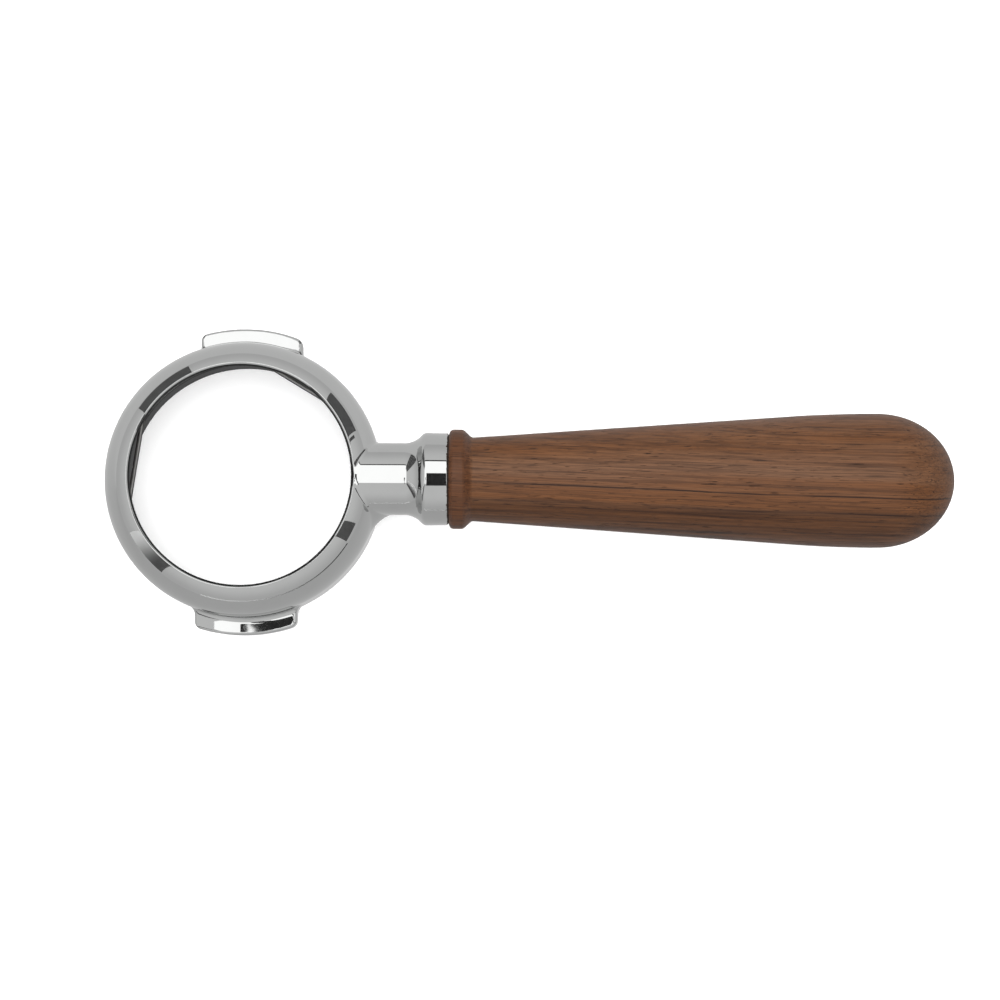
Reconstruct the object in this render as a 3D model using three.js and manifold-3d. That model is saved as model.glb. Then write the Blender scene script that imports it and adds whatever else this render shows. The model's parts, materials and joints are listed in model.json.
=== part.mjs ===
// Bottomless portafilter for a 58 mm espresso group, lying mouth down.
//
// Units are millimetres and +Z is up. The origin is the centre of the mouth rim, the plane that
// meets the group's gasket. The outlet lip is at +Z, and the handle points along +X and climbs a
// little. The body is one casting with two locking lugs. A bent wire spring lies in a groove in its
// bore, and a wooden handle with a brass insert and a threaded stud screws into its collar.

import * as THREE from "three";
import { mergeVertices } from "three/addons/utils/BufferGeometryUtils.js";
import Module from "manifold-3d";

const degree = Math.PI / 180;

// Ring: outer wall, bowl and lip.
const RING_RADIUS = 35;
const RING_HEIGHT = 24.5;
const BOWL_START = 13;
const BOWL_DEPTH = 10.5;
const LIP_OUTER_RADIUS = 28.1;
const LIP_INNER_RADIUS = 27.4;
const LIP_BEVEL = 0.6;
const RIM_BEVEL = 0.4;

// Bore for the filter basket, and the groove for its spring.
const BORE_RADIUS = 30.3;
const BORE_LEAD_IN = 0.6;
const SHOULDER_START = 17.5;
const SHOULDER_TOP = 22.9;
const GROOVE_RADIUS = 31.75;
const GROOVE_HEIGHT = 8.1;
const GROOVE_WIDTH = 1.6;
const SHOULDER_ARC_ANGLE = 80 * degree;

// Locking lugs, one each side. They are thinner at the end that enters the group first.
const LUG_RADIUS = 39.6;
const LUG_WIDTH = 26.1;
const LUG_SHIFT_LEFT = 1.15;
const LUG_SHIFT_RIGHT = 0.55;
const LUG_BOTTOM = 2.5;
const LUG_MIDDLE_TOP = 8.6;
const LUG_RAMP_ANGLE = 1 * degree;
const LUG_LEAD_IN_ANGLE = 13 * degree;
const LUG_LEAD_IN_LENGTH = 5;
const LUG_CORNER = 1.2;
const LUG_ROOT_DEPTH = 4;
const LUG_BLANK_HEIGHT = 12;

// Handle axis: it crosses the ring's wall at this place and climbs away from it.
const AXIS_X = 30;
const AXIS_Z = 15.5;
const AXIS_CLIMB = 2.5 * degree;

// Neck and collar of the body, as stations along the handle axis.
const NECK_RADIUS = 9.15;
const NECK_START = 20;
const FLARE_START = 41.35;
const FLARE_ARC = 3.9;
const FLARE_ANGLE = 45 * degree;
const FLARE_END = 45.8;
const COLLAR_CORNER = 0.3;
const COLLAR_RADIUS = 11.8;
const COLLAR_END_RADIUS = 11.68;
const COLLAR_END = 51.6;
const STUD_HOLE_RADIUS = 5.2;
const STUD_HOLE_END = 37.3;
const STUD_HOLE_CONE = 2;

// Wooden handle.
const HANDLE_START = 52.4;
const BEAD_RADIUS = 12.65;
const BEAD_EDGE = 1.3;
const BEAD_END = 56.4;
const BEAD_END_ANGLE = 15 * degree;
const TAPER_START = 57.9;
const COVE_LENGTH = 0.8;
const COVE_RISE = 0.2;
const TAPER_START_RADIUS = 10.66;
const TAPER_END = 140;
const TAPER_END_RADIUS = 16.37;
const HANDLE_RADIUS = 17.1;
const DOME_START = 161.2;
const HANDLE_TIP = 180.5;
const INSERT_POCKET_RADIUS = 7.7;
const INSERT_POCKET_END = 78;

// Hardware inside the handle and between handle and collar.
const INSERT_RADIUS = 7.4;
const INSERT_HOLE_RADIUS = 5.2;
const INSERT_START = 52.9;
const INSERT_END = 75;
const STUD_RADIUS = 4.9;
const STUD_START = 38.3;
const STUD_END = 76.5;
const STUD_BEVEL = 0.8;
const WASHER_RADIUS = 11.4;
const WASHER_HOLE_RADIUS = 5.6;
const WASHER_START = 51.8;
const WASHER_END = 52.2;

// Basket spring: a round wire with three straight stretches that reach into the bore.
const WIRE_RADIUS = 0.6;
const SPRING_RADIUS = 31;
const CHORD_ANGLES = [172, 59, -65];
const CHORD_HALF_ANGLE = 23;
const SPRING_GAP_ANGLE = -8;
const SPRING_GAP = 6;
const SPRING_STEPS = 80;

// Facets.
const RING_SEGMENTS = 72;
const ROUND_SEGMENTS = 36;
const SMALL_SEGMENTS = 24;
const ARC_STEPS = 6;
const BOWL_STEPS = 8;
const LUG_STEPS = 8;
const EDGE_STEPS = 4;
const DOME_STEPS = 10;
const WIRE_STEPS = 4;

// How far a cutting solid reaches past what it cuts, and the side of a cutting block.
const MARGIN = 1.5;
const CUTTER_SIDE = 60;
const CUTTER_HEIGHT = 20;

// Corners closer together than this are one corner.
const MERGE_DISTANCE = 1e-4;

const wasm = await Module();
wasm.setup();

// One closed surface: shared vertices merged, empty triangles dropped, faces turned outwards.
function closedSurface(source) {
  const bare = source.clone();
  bare.deleteAttribute("normal");
  bare.deleteAttribute("uv");
  const merged = mergeVertices(bare, MERGE_DISTANCE);
  const corners = merged.index.array;
  const place = merged.attributes.position;
  const a = new THREE.Vector3();
  const b = new THREE.Vector3();
  const c = new THREE.Vector3();
  const triangles = [];
  let volume = 0;
  for (let i = 0; i < corners.length; i += 3) {
    const [p, q, r] = [corners[i], corners[i + 1], corners[i + 2]];
    if (p === q || q === r || r === p) {
      continue;
    }
    triangles.push([p, q, r]);
    a.fromBufferAttribute(place, p);
    b.fromBufferAttribute(place, q);
    c.fromBufferAttribute(place, r);
    volume += a.dot(b.cross(c));
  }
  if (volume < 0) {
    triangles.forEach((triangle) => triangle.reverse());
  }
  merged.setIndex(triangles.flat());
  return merged;
}

function toSolid(geometry) {
  const surface = closedSurface(geometry);
  const mesh = new wasm.Mesh({
    numProp: 3,
    vertProperties: new Float32Array(surface.attributes.position.array),
    triVerts: new Uint32Array(surface.index.array),
  });
  return new wasm.Manifold(mesh);
}

function toGeometry(solid) {
  const mesh = solid.getMesh();
  const geometry = new THREE.BufferGeometry();
  geometry.setAttribute("position", new THREE.BufferAttribute(mesh.vertProperties, 3));
  geometry.setIndex(Array.from(mesh.triVerts));
  return geometry;
}

// Points on a quarter turn of an ellipse, or a part of one, from one angle to another.
function arcPoints(centre, size, from, to, steps = ARC_STEPS) {
  const points = [];
  for (let i = 0; i <= steps; i += 1) {
    const angle = THREE.MathUtils.lerp(from, to, i / steps);
    points.push([centre[0] + size[0] * Math.cos(angle), centre[1] + size[1] * Math.sin(angle)]);
  }
  return points;
}

// Turns a profile of [radius, height] about +Z.
function turnAboutZ(profile, segments) {
  const points = profile.map(([radius, height]) => new THREE.Vector2(radius, height));
  return new THREE.LatheGeometry(points, segments).rotateX(Math.PI / 2);
}

// Turns a profile of [station, radius] about +X.
function turnAboutX(profile, segments) {
  const points = profile.map(([station, radius]) => new THREE.Vector2(radius, station));
  return new THREE.LatheGeometry(points, segments).rotateZ(-Math.PI / 2);
}

// Stations along the handle axis are measured from the ring's centre line, so the group that holds
// the handle is turned about the point where the axis crosses the ring's wall.
const handleFrame = new THREE.Matrix4()
  .makeTranslation(AXIS_X, 0, AXIS_Z)
  .multiply(new THREE.Matrix4().makeRotationY(-AXIS_CLIMB))
  .multiply(new THREE.Matrix4().makeTranslation(-AXIS_X, 0, 0));

// Outer form of the ring: a straight wall, then a bowl that curves in to the outlet lip.
function ringOutside() {
  const bowlHeight = RING_HEIGHT - BOWL_START;
  const bowlCentre = RING_RADIUS - BOWL_DEPTH;
  const lipAngle = Math.acos((LIP_OUTER_RADIUS - bowlCentre) / BOWL_DEPTH);
  const bowlSize = [BOWL_DEPTH, bowlHeight / Math.sin(lipAngle)];
  return turnAboutZ(
    [
      [0, 0],
      [RING_RADIUS - RIM_BEVEL, 0],
      [RING_RADIUS, RIM_BEVEL],
      ...arcPoints([bowlCentre, BOWL_START], bowlSize, 0, lipAngle, BOWL_STEPS),
      [0, RING_HEIGHT],
    ],
    RING_SEGMENTS,
  );
}

// Everything the basket and the coffee pass through, from below the rim to above the lip.
function ringInside() {
  const shoulderWidth = BORE_RADIUS - LIP_INNER_RADIUS;
  const shoulderSize = [shoulderWidth, SHOULDER_TOP - SHOULDER_START];
  return turnAboutZ(
    [
      [0, -MARGIN],
      [BORE_RADIUS + BORE_LEAD_IN + MARGIN, -MARGIN],
      [BORE_RADIUS, BORE_LEAD_IN],
      [BORE_RADIUS, GROOVE_HEIGHT - GROOVE_WIDTH / 2],
      [GROOVE_RADIUS, GROOVE_HEIGHT - GROOVE_WIDTH / 2],
      [GROOVE_RADIUS, GROOVE_HEIGHT + GROOVE_WIDTH / 2],
      [BORE_RADIUS, GROOVE_HEIGHT + GROOVE_WIDTH / 2],
      ...arcPoints([LIP_INNER_RADIUS, SHOULDER_START], shoulderSize, 0, SHOULDER_ARC_ANGLE),
      [LIP_INNER_RADIUS, SHOULDER_TOP],
      [LIP_INNER_RADIUS, RING_HEIGHT - LIP_BEVEL],
      [LIP_INNER_RADIUS + LIP_BEVEL + MARGIN, RING_HEIGHT + MARGIN],
      [0, RING_HEIGHT + MARGIN],
    ],
    RING_SEGMENTS,
  );
}

// A block whose lower face lies in the plane through a point, square to a normal.
function cutterAbove(point, normal) {
  const turn = new THREE.Quaternion().setFromUnitVectors(new THREE.Vector3(0, 0, 1), normal);
  return new THREE.BoxGeometry(CUTTER_SIDE, CUTTER_SIDE, CUTTER_HEIGHT)
    .translate(0, 0, CUTTER_HEIGHT / 2)
    .applyQuaternion(turn)
    .translate(point.x, point.y, point.z);
}

// One locking lug. side is +1 or -1 for the lug at +Y or -Y. Both lugs get thinner in the sense of
// turning that locks them, which is towards +X at +Y and towards -X at -Y.
function lug(side) {
  const shift = side > 0 ? LUG_SHIFT_LEFT : LUG_SHIFT_RIGHT;
  const left = shift - LUG_WIDTH / 2;
  const right = shift + LUG_WIDTH / 2;
  const root = BORE_RADIUS - LUG_ROOT_DEPTH;
  const outerAt = (x) => Math.sqrt(LUG_RADIUS ** 2 - x ** 2);
  const rightAngle = Math.acos((right - LUG_CORNER) / LUG_RADIUS);
  const leftAngle = Math.acos((left + LUG_CORNER) / LUG_RADIUS);
  const outline = new THREE.Shape();
  outline.moveTo(left, root);
  outline.lineTo(right, root);
  outline.lineTo(right, outerAt(right) - LUG_CORNER);
  outline.absarc(0, 0, LUG_RADIUS, rightAngle, leftAngle, false);
  outline.lineTo(left, outerAt(left) - LUG_CORNER);
  const depth = LUG_BLANK_HEIGHT;
  const options = { depth, bevelEnabled: false, curveSegments: LUG_STEPS };
  const block = new THREE.ExtrudeGeometry(outline, options);
  block.translate(0, 0, LUG_BOTTOM);
  if (side < 0) {
    block.rotateX(Math.PI).translate(0, 0, depth + 2 * LUG_BOTTOM);
  }
  const thinEnd = shift + side * (LUG_WIDTH / 2 - LUG_LEAD_IN_LENGTH);
  const thinTop = LUG_MIDDLE_TOP - (LUG_WIDTH / 2 - LUG_LEAD_IN_LENGTH) * Math.tan(LUG_RAMP_ANGLE);
  const ramp = new THREE.Vector3(side * Math.sin(LUG_RAMP_ANGLE), 0, Math.cos(LUG_RAMP_ANGLE));
  const leadIn = new THREE.Vector3(side * Math.sin(LUG_LEAD_IN_ANGLE), 0, Math.cos(LUG_LEAD_IN_ANGLE));
  const middle = new THREE.Vector3(shift, side * RING_RADIUS, LUG_MIDDLE_TOP);
  const edge = new THREE.Vector3(thinEnd, side * RING_RADIUS, thinTop);
  return toSolid(block)
    .subtract(toSolid(cutterAbove(middle, ramp)))
    .subtract(toSolid(cutterAbove(edge, leadIn)));
}

// Neck, flare and collar, from inside the ring to the seat of the handle.
function neck() {
  const arcRun = FLARE_ARC * Math.sin(FLARE_ANGLE);
  const arcRise = FLARE_ARC * (1 - Math.cos(FLARE_ANGLE));
  const slopeRise = COLLAR_RADIUS - NECK_RADIUS - arcRise - COLLAR_CORNER;
  const quarter = Math.PI / 2;
  const centre = [FLARE_START, NECK_RADIUS + FLARE_ARC];
  return turnAboutX(
    [
      [NECK_START, 0],
      [NECK_START, NECK_RADIUS],
      ...arcPoints(centre, [FLARE_ARC, FLARE_ARC], -quarter, FLARE_ANGLE - quarter, EDGE_STEPS),
      [FLARE_START + arcRun + slopeRise, NECK_RADIUS + arcRise + slopeRise],
      [FLARE_END, COLLAR_RADIUS],
      [COLLAR_END, COLLAR_END_RADIUS],
      [COLLAR_END, 0],
    ],
    ROUND_SEGMENTS,
  ).applyMatrix4(handleFrame);
}

// Tapped hole for the stud, with the cone that the drill leaves.
function studHole() {
  return turnAboutX(
    [
      [STUD_HOLE_END - STUD_HOLE_CONE, 0],
      [STUD_HOLE_END, STUD_HOLE_RADIUS],
      [COLLAR_END + MARGIN, STUD_HOLE_RADIUS],
      [COLLAR_END + MARGIN, 0],
    ],
    SMALL_SEGMENTS,
  ).applyMatrix4(handleFrame);
}

function bodyGeometry() {
  const solid = toSolid(ringOutside())
    .add(toSolid(neck()))
    .add(lug(1))
    .add(lug(-1))
    .subtract(toSolid(ringInside()))
    .subtract(toSolid(studHole()));
  return toGeometry(solid);
}

// The spring's centre line: a circle whose three chords are straight, open at one place.
class SpringLine extends THREE.Curve {
  getPoint(t, target = new THREE.Vector3()) {
    const angle = SPRING_GAP_ANGLE + SPRING_GAP / 2 + t * (360 - SPRING_GAP);
    let radius = SPRING_RADIUS;
    for (const middle of CHORD_ANGLES) {
      const away = THREE.MathUtils.euclideanModulo(angle - middle + 180, 360) - 180;
      if (Math.abs(away) < CHORD_HALF_ANGLE) {
        radius *= Math.cos(CHORD_HALF_ANGLE * degree) / Math.cos(away * degree);
      }
    }
    const turn = angle * degree;
    return target.set(radius * Math.cos(turn), radius * Math.sin(turn), GROOVE_HEIGHT);
  }
}

function springGeometry() {
  const section = new THREE.Shape();
  section.absarc(0, 0, WIRE_RADIUS, 0, 2 * Math.PI, false);
  return new THREE.ExtrudeGeometry(section, {
    steps: SPRING_STEPS,
    curveSegments: WIRE_STEPS,
    extrudePath: new SpringLine(),
  });
}

function handleGeometry() {
  const dome = [HANDLE_TIP - DOME_START, HANDLE_RADIUS];
  const swell = [];
  const swellLength = DOME_START - TAPER_END;
  for (let i = 0; i < ARC_STEPS; i += 1) {
    const left = 1 - i / ARC_STEPS;
    const radius = HANDLE_RADIUS - (HANDLE_RADIUS - TAPER_END_RADIUS) * left ** 2;
    swell.push([DOME_START - swellLength * left, radius]);
  }
  const startCentre = [HANDLE_START + BEAD_EDGE, BEAD_RADIUS - BEAD_EDGE];
  const endCentre = [BEAD_END - BEAD_EDGE, BEAD_RADIUS - BEAD_EDGE];
  const edge = [BEAD_EDGE, BEAD_EDGE];
  return turnAboutX(
    [
      [INSERT_POCKET_END, 0],
      [INSERT_POCKET_END, INSERT_POCKET_RADIUS],
      [HANDLE_START, INSERT_POCKET_RADIUS],
      ...arcPoints(startCentre, edge, Math.PI, Math.PI / 2, EDGE_STEPS),
      ...arcPoints(endCentre, edge, Math.PI / 2, BEAD_END_ANGLE, EDGE_STEPS),
      [TAPER_START - COVE_LENGTH, TAPER_START_RADIUS + COVE_RISE],
      [TAPER_START, TAPER_START_RADIUS],
      ...swell,
      ...arcPoints([DOME_START, 0], dome, Math.PI / 2, 0, DOME_STEPS),
    ],
    ROUND_SEGMENTS,
  );
}

function insertGeometry() {
  return turnAboutX(
    [
      [INSERT_START, INSERT_HOLE_RADIUS],
      [INSERT_START, INSERT_RADIUS],
      [INSERT_END, INSERT_RADIUS],
      [INSERT_END, INSERT_HOLE_RADIUS],
      [INSERT_START, INSERT_HOLE_RADIUS],
    ],
    SMALL_SEGMENTS,
  );
}

function studGeometry() {
  return turnAboutX(
    [
      [STUD_START, 0],
      [STUD_START, STUD_RADIUS - STUD_BEVEL],
      [STUD_START + STUD_BEVEL, STUD_RADIUS],
      [STUD_END - STUD_BEVEL, STUD_RADIUS],
      [STUD_END, STUD_RADIUS - STUD_BEVEL],
      [STUD_END, 0],
    ],
    SMALL_SEGMENTS,
  );
}

function washerGeometry() {
  return turnAboutX(
    [
      [WASHER_START, WASHER_HOLE_RADIUS],
      [WASHER_START, WASHER_RADIUS],
      [WASHER_END, WASHER_RADIUS],
      [WASHER_END, WASHER_HOLE_RADIUS],
      [WASHER_START, WASHER_HOLE_RADIUS],
    ],
    ROUND_SEGMENTS,
  );
}

function piece(name, geometry, material) {
  const mesh = new THREE.Mesh(closedSurface(geometry), material);
  mesh.name = name;
  return mesh;
}

const chrome = new THREE.MeshStandardMaterial({ color: 0xc9cac9, roughness: 0.08, metalness: 1 });
const springSteel = new THREE.MeshStandardMaterial({ color: 0x8e8f8f, roughness: 0.3, metalness: 1 });
const walnut = new THREE.MeshStandardMaterial({ color: 0x765541, roughness: 0.45, metalness: 0 });
const brass = new THREE.MeshStandardMaterial({ color: 0xc8a35a, roughness: 0.3, metalness: 1 });
const zincSteel = new THREE.MeshStandardMaterial({ color: 0x9c9c98, roughness: 0.35, metalness: 1 });
const fibre = new THREE.MeshStandardMaterial({ color: 0x2a2320, roughness: 0.8, metalness: 0 });

const portafilter = new THREE.Group();
portafilter.add(piece("portafilter_body", bodyGeometry(), chrome));
portafilter.add(piece("basket_spring", springGeometry(), springSteel));

const handleGroup = new THREE.Group();
handleGroup.applyMatrix4(handleFrame);
handleGroup.add(piece("seat_washer", washerGeometry(), fibre));
handleGroup.add(piece("handle_grip", handleGeometry(), walnut));
handleGroup.add(piece("handle_insert", insertGeometry(), brass));
handleGroup.add(piece("handle_stud", studGeometry(), zincSteel));
portafilter.add(handleGroup);

export default portafilter;
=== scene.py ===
"""Bottomless 58 mm portafilter with a walnut handle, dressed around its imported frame.

Lengths in the classes are millimetres, in the frame's own axes: the origin is the centre of the
mouth rim, +Z points to the outlet lip and +X along the handle. Stations are distances along the
handle axis. Meshes are turned to metres when they are made.
"""

import json
import logging
import math
from collections.abc import Callable, Sequence
from dataclasses import dataclass
from enum import Enum

import bpy
import numpy as np
from mathutils import Matrix


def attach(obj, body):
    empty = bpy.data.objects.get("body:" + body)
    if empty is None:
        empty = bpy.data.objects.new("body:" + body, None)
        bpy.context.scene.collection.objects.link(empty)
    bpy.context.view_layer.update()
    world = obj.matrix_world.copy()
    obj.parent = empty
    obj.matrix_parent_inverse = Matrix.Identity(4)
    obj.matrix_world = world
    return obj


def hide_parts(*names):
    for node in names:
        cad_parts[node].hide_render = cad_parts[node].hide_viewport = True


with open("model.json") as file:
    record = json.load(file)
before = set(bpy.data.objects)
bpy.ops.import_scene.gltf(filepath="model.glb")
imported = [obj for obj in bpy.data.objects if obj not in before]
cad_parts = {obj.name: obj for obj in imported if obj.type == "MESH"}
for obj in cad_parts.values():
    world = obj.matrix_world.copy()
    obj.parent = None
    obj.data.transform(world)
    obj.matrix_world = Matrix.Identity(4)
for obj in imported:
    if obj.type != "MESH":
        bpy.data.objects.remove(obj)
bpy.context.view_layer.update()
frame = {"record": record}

MM = 0.001
TURN = 2 * math.pi
log = logging.getLogger("portafilter")

Array = np.ndarray
Field = Callable[[Array], Array]
Pair = tuple[float, float]
Triple = tuple[float, float, float]


# --------------------------------------------------------------------------- shader expressions


class Wire:
    """A shader value that can be used in Python expressions, such as 1 - mask * 0.5."""

    def __init__(self, graph: "Graph", socket: bpy.types.NodeSocket) -> None:
        """Wrap one output socket.

        Args:
            graph: The graph that the socket belongs to.
            socket: The output socket that carries the value.
        """
        self.graph = graph
        self.socket = socket

    def _maths(self, operation: str, *others: "Wire | float") -> "Wire":
        """Add one Math node with this value as its first input."""
        return self.graph.maths(operation, self, *others)

    def __add__(self, other: "Wire | float") -> "Wire":
        """Sum of two values."""
        return self._maths("ADD", other)

    __radd__ = __add__

    def __sub__(self, other: "Wire | float") -> "Wire":
        """Difference of two values."""
        return self._maths("SUBTRACT", other)

    def __rsub__(self, other: "Wire | float") -> "Wire":
        """Difference with this value taken away."""
        return self.graph.maths("SUBTRACT", other, self)

    def __mul__(self, other: "Wire | float") -> "Wire":
        """Product of two values."""
        return self._maths("MULTIPLY", other)

    __rmul__ = __mul__

    def __pow__(self, other: "Wire | float") -> "Wire":
        """This value to a power."""
        return self._maths("POWER", other)

    def absolute(self) -> "Wire":
        """Size of the value without its sign."""
        return self._maths("ABSOLUTE")

    def ramp(self, low: float, high: float) -> "Wire":
        """Smooth step of the value.

        Args:
            low: The value that gives 0.
            high: The value that gives 1. It may be less than low.

        Returns:
            A value from 0 to 1 with no kink at either end.
        """
        turned = low > high
        low, high = min(low, high), max(low, high)
        settings = {"interpolation_type": "SMOOTHSTEP"}
        inputs = {"Value": self, "From Min": low, "From Max": high}
        step = self.graph.node("ShaderNodeMapRange", settings, inputs, "Result")
        return 1 - step if turned else step

    def bell(self, centre: float, width: float) -> "Wire":
        """Value 1 at centre, falling to 0 at width to either side."""
        return (self - centre).absolute().ramp(width, 0)


class Graph:
    """A node tree that is filled by calls."""

    def __init__(self, tree: bpy.types.NodeTree) -> None:
        """Empty a node tree and hold it."""
        self.tree = tree
        tree.nodes.clear()

    def node(
        self,
        kind: str,
        settings: dict[str, object] | None = None,
        inputs: dict[str | int, object] | None = None,
        output: str | int = 0,
    ) -> Wire:
        """Make any node.

        Args:
            kind: The node's type name.
            settings: Properties of the node, set first.
            inputs: Values or wires for its input sockets, by name or number.
            output: The output socket that is wanted.

        Returns:
            The wanted output, as a wire.
        """
        made = self.tree.nodes.new(kind)
        for name, value in (settings or {}).items():
            setattr(made, name, value)
        for name, value in (inputs or {}).items():
            if isinstance(value, Wire):
                self.tree.links.new(value.socket, made.inputs[name])
            else:
                made.inputs[name].default_value = value
        return Wire(self, made.outputs[output]) if made.outputs else None

    def maths(self, operation: str, *values: Wire | float) -> Wire:
        """Math node on two or three values."""
        return self.node("ShaderNodeMath", {"operation": operation}, dict(enumerate(values)))

    def mix(self, factor: Wire | float, first: object, second: object) -> Wire:
        """Blend two colours.

        Args:
            factor: 0 gives the first colour and 1 the second.
            first: A wire or an RGB tuple.
            second: A wire or an RGB tuple.

        Returns:
            The blended colour.
        """
        full = [c if isinstance(c, Wire) else (*c, 1.0) for c in (first, second)]
        settings = {"data_type": "RGBA", "clamp_factor": True}
        inputs = {0: factor, 6: full[0], 7: full[1]}
        return self.node("ShaderNodeMix", settings, inputs, 2)

    def scale(self, vector: Wire, by: Sequence[float]) -> Wire:
        """Stretch a vector by a factor along each axis."""
        return self.node("ShaderNodeVectorMath", {"operation": "MULTIPLY"}, {0: vector, 1: by})

    def noise(self, vector: Wire, scale: float, detail: float = 2.0, rough: float = 0.5) -> Wire:
        """Fractal noise from 0 to 1 at a place."""
        inputs = {"Vector": vector, "Scale": scale, "Detail": detail, "Roughness": rough}
        return self.node("ShaderNodeTexNoise", {}, inputs)

    def parts(self, vector: Wire) -> tuple[Wire, Wire, Wire]:
        """The three parts of a vector."""
        split = self.node("ShaderNodeSeparateXYZ", {}, {0: vector}).socket.node
        return tuple(Wire(self, split.outputs[i]) for i in range(3))

    def vector(self, x: Wire | float, y: Wire | float, z: Wire | float) -> Wire:
        """Three values as a vector."""
        return self.node("ShaderNodeCombineXYZ", {}, {0: x, 1: y, 2: z})

    def bump(self, height: Wire, depth_mm: float, strength: float = 1.0) -> Wire:
        """Normal tilted by a height.

        Args:
            height: A value whose step of 1 stands for the depth.
            depth_mm: The depth in millimetres.
            strength: How much of the tilt is kept.

        Returns:
            The normal for a shader.
        """
        inputs = {"Height": height, "Distance": depth_mm * MM, "Strength": strength}
        return self.node("ShaderNodeBump", {}, inputs)


# ------------------------------------------------------------------------------------- finishes


@dataclass(frozen=True)
class Grain:
    """A noise pattern: its fineness along three axes, octaves, their falloff, contrast and scale."""

    fineness: Triple = (1.0, 1.0, 1.0)
    octaves: float = 2.0
    falloff: float = 0.5
    low: float = 0.0
    high: float = 1.0
    scale: float = 1.0

    def value(self, graph: Graph, place: Wire) -> Wire:
        """The plain noise at a place."""
        return graph.noise(graph.scale(place, self.fineness), self.scale, self.octaves, self.falloff)

    def mask(self, graph: Graph, place: Wire) -> Wire:
        """The noise at a place, 0 below the pattern's low value and 1 above its high one."""
        return self.value(graph, place).ramp(self.low, self.high)


@dataclass(frozen=True)
class Finish:
    """A surface finish. Each kind adds what varies over the surface in its paint method."""

    name: str
    colour: Triple
    roughness: float
    metallic: float = 1.0
    specular: float = 0.5

    def build(self) -> bpy.types.Material:
        """Make the material.

        Returns:
            A material with one Principled shader.
        """
        material = bpy.data.materials.new(self.name)
        material.use_nodes = True
        graph = Graph(material.node_tree)
        place = graph.node("ShaderNodeTexCoord", {}, {}, "Object")
        inputs: dict[str | int, object] = {
            "Base Color": (*self.colour, 1.0),
            "Roughness": self.roughness,
            "Metallic": self.metallic,
            "Specular IOR Level": self.specular,
        }
        inputs.update(self.paint(graph, graph.scale(place, (1 / MM,) * 3)))
        shader = graph.node("ShaderNodeBsdfPrincipled", {}, inputs)
        graph.node("ShaderNodeOutputMaterial", {}, {"Surface": shader})
        material.diffuse_color = (*self.colour, 1.0)
        return material

    def paint(self, graph: Graph, place: Wire) -> dict[str | int, object]:
        """What varies over the surface.

        Args:
            graph: The material's graph.
            place: Object coordinates in millimetres.

        Returns:
            Shader inputs by name.
        """
        return {}


@dataclass(frozen=True)
class PolishedChrome(Finish):
    """Chrome plate on a polished forging, with turned marks left in the bore and painted shade that
    darkens the bore.
    """

    bore_cone: float = 49.5
    bore_cone_rise: float = 0.9
    bore_radius: float = 33.0
    bore_edge: Pair = (0.3, 0.2)
    bore_rough: float = 0.17
    # Painted shade: share of the chrome colour left in the bore, darker than the real chrome there.
    bore_painted_shade: float = 0.26
    bore_relief: float = 0.35
    haze_shade: float = 0.93
    haze_rough: float = 0.010
    hair_rough: float = 0.006
    wave_relief: float = 0.16
    hair_relief: float = 0.002
    relief_mm: float = 0.05
    haze: Grain = Grain(octaves=4, falloff=0.6, low=0.35, high=0.75, scale=0.09)
    smear: Grain = Grain((0.5, 0.12, 0.3), 3, low=0.45, high=0.8, scale=0.6)
    hairs: Grain = Grain((2.2, 0.25, 0.9), 2, low=0.55, high=0.75, scale=3.0)
    waves: Grain = Grain(octaves=1, scale=0.11)
    turned: Grain = Grain(octaves=3, falloff=0.7, scale=2.6)

    def bore(self, radius: Wire, z: Wire) -> Wire:
        """Mask of the bore: what lies inside a cone and a cylinder.

        Args:
            radius: Distance from the ring's centre line in millimetres.
            z: Height in millimetres.

        Returns:
            1 in the bore and 0 outside it.
        """
        soft, hard = self.bore_edge
        cone = (radius + z * self.bore_cone_rise).ramp(self.bore_cone + soft, self.bore_cone - soft)
        return cone * radius.ramp(self.bore_radius + hard, self.bore_radius - hard)

    def paint(self, graph: Graph, place: Wire) -> dict[str | int, object]:
        """Faint wiping haze, soft polishing waves, fine hairlines, and a turned bore darkened with
        painted shade.

        Args:
            graph: The material's graph.
            place: Object coordinates in millimetres.

        Returns:
            Shader inputs by name.
        """
        x, y, z = graph.parts(place)
        radius = (x * x + y * y) ** 0.5
        bore = self.bore(radius, z)
        haze = self.haze.mask(graph, place)
        smear = self.smear.mask(graph, place)
        hairs = self.hairs.mask(graph, place)
        waves = self.waves.value(graph, place)
        turned = self.turned.value(graph, graph.vector(0.0, radius * 0.2, z))
        rough = self.roughness + haze * self.haze_rough + smear * self.haze_rough
        rough = rough + hairs * self.hair_rough + bore * self.bore_rough
        tint = graph.mix(haze * 0.5, self.colour, tuple(self.haze_shade * c for c in self.colour))
        # Painted shade: the bore's colour is darkened to stand in for the shade inside the ring.
        tint = graph.mix(bore * 0.9, tint, tuple(self.bore_painted_shade * c for c in self.colour))
        surface = waves * self.wave_relief + turned * bore * self.bore_relief
        normal = graph.bump(surface + hairs * self.hair_relief, self.relief_mm)
        return {"Base Color": tint, "Roughness": rough, "Normal": normal}


@dataclass(frozen=True)
class Line:
    """A dark line in the wood: the layer it lies in, its half-width in mm and its strength."""

    layer: float
    width: float
    strength: float


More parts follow.
